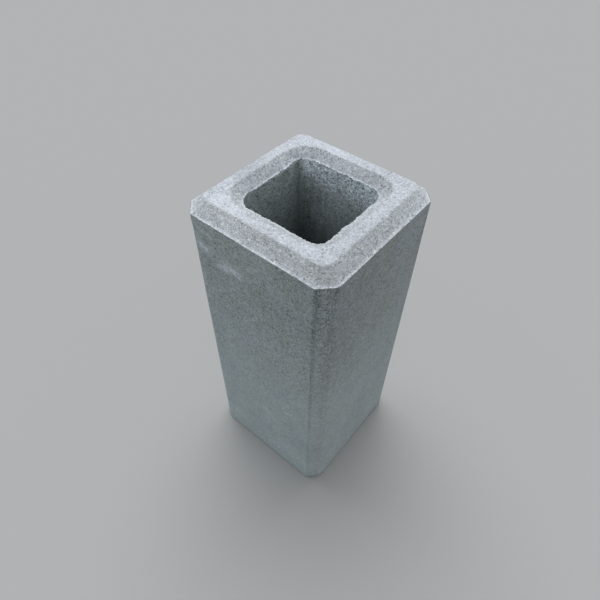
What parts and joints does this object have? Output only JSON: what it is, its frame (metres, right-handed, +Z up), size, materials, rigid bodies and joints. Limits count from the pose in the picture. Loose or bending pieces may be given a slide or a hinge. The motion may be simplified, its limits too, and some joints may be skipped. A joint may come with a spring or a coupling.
{
  "type": "concrete pier block",
  "caption": "Tall square concrete pier block with cut corners, a chamfered crown and a tapered post socket that runs right through it.",
  "frame": {"origin": "centre of the base, on the ground that the block stands on", "axes": "+Z up along the socket, from the base to the crown; +X and +Y square to two neighbouring faces"},
  "size_m": [0.2, 0.2, 0.45],
  "materials": {
    "concrete": "matte, as cast: fine pores and grain, open texture at the crown and in the socket, thin pale bloom"
  },
  "bodies": {
    "root": {"pier_block": "concrete"}
  },
  "joints": []
}
